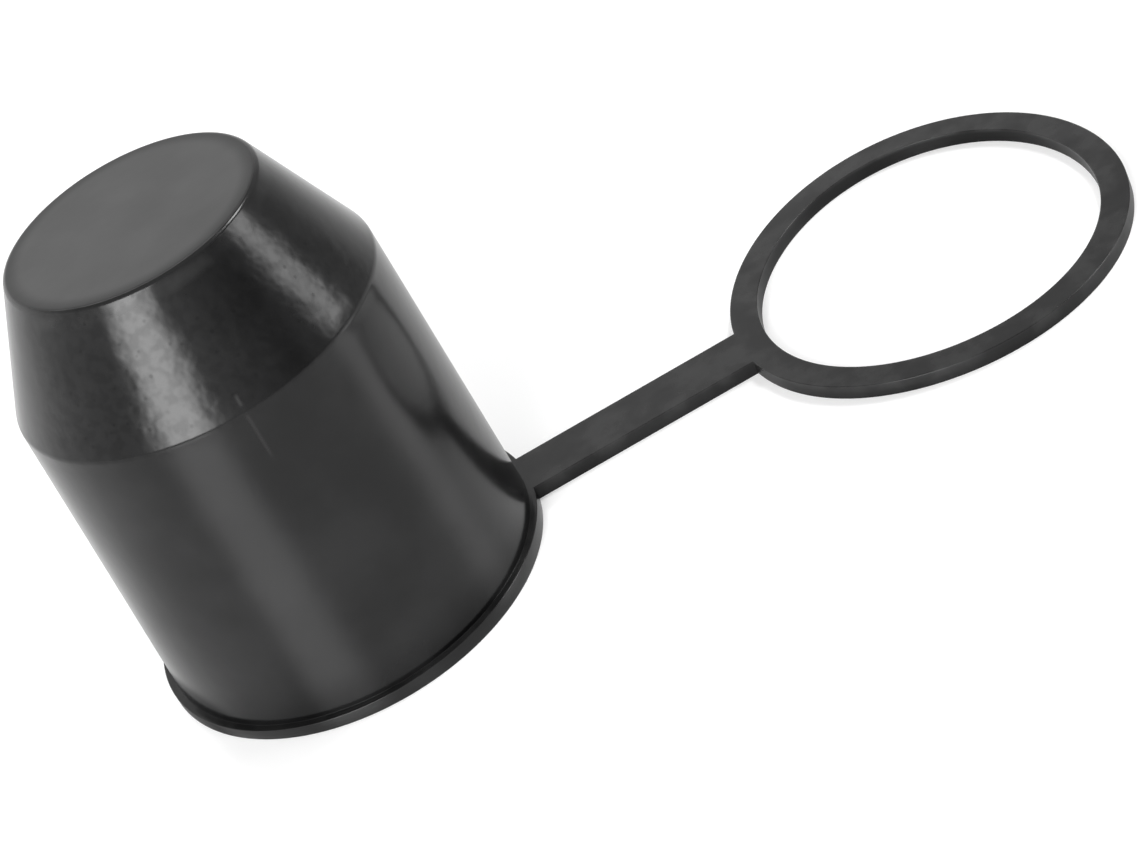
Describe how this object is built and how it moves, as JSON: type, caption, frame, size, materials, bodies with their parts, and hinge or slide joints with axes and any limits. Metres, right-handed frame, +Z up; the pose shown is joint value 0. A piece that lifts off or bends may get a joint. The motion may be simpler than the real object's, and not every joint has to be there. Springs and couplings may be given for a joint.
{
  "type": "tow ball cover",
  "caption": "Soft black cap with a sloped shoulder and flat top, open below to slip over a tow ball, moulded together with a flat strap and ring that keep it on the ball's neck.",
  "frame": {"origin": "middle of the cap's mouth, on the flat lower face", "axes": "+Z up the cap's axis to its flat top, +X along the strap to the ring, +Y across the strap"},
  "size_m": [0.1606, 0.0628, 0.07],
  "materials": {
    "soft_plastic": "satin"
  },
  "bodies": {
    "root": {"tow_ball_cover": "soft_plastic"}
  },
  "joints": []
}
